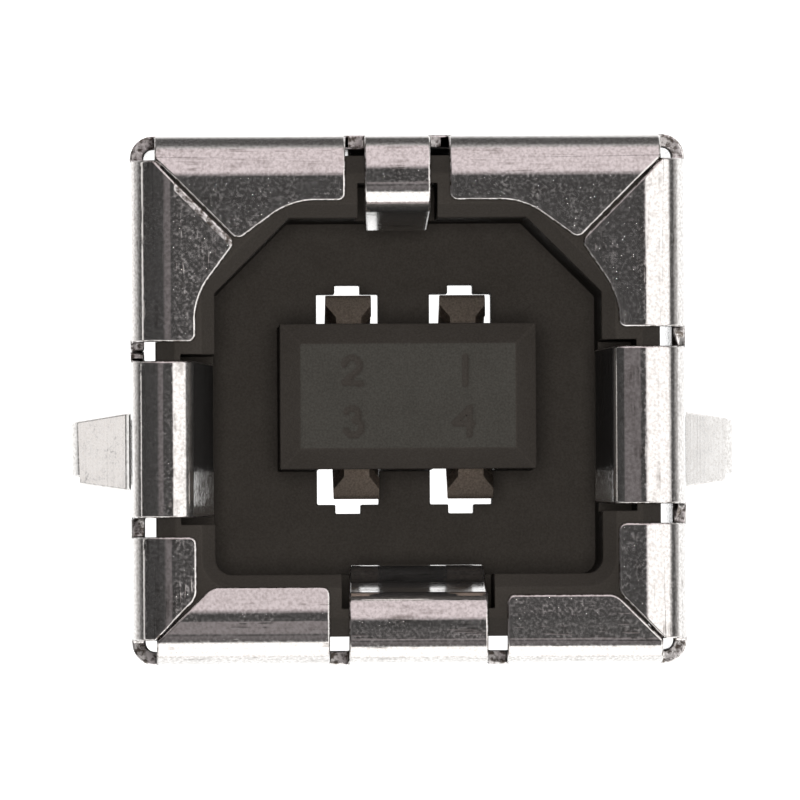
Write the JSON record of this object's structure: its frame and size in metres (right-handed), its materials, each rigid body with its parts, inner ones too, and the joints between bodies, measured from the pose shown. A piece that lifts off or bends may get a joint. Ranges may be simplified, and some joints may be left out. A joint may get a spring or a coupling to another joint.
{
  "type": "usb-b socket",
  "caption": "Upright board socket: rolled sheet-metal shell with spring fingers and snap-in legs, black keyed cavity, and leaf contacts on a central tongue.",
  "frame": {"origin": "where the mating axis, through the middle of the tongue, meets the board's face", "axes": "+Z out of the mating face, +Y towards the two chamfered corners of the cavity, +X to the right seen from the mating side"},
  "size_m": [0.0148, 0.0116, 0.0143],
  "materials": {
    "plated_sheet": "bright nickel plating on folded sheet, fine draw lines across the rolled edges",
    "black_moulding": "fine-grained warm black glass-filled polyester",
    "bronze_strip": "stamped phosphor bronze strip with a soft shine"
  },
  "bodies": {
    "root": {"shell": "plated_sheet", "housing": "black_moulding", "contact_1": "bronze_strip", "contact_2": "bronze_strip", "contact_3": "bronze_strip", "contact_4": "bronze_strip"}
  },
  "joints": []
}
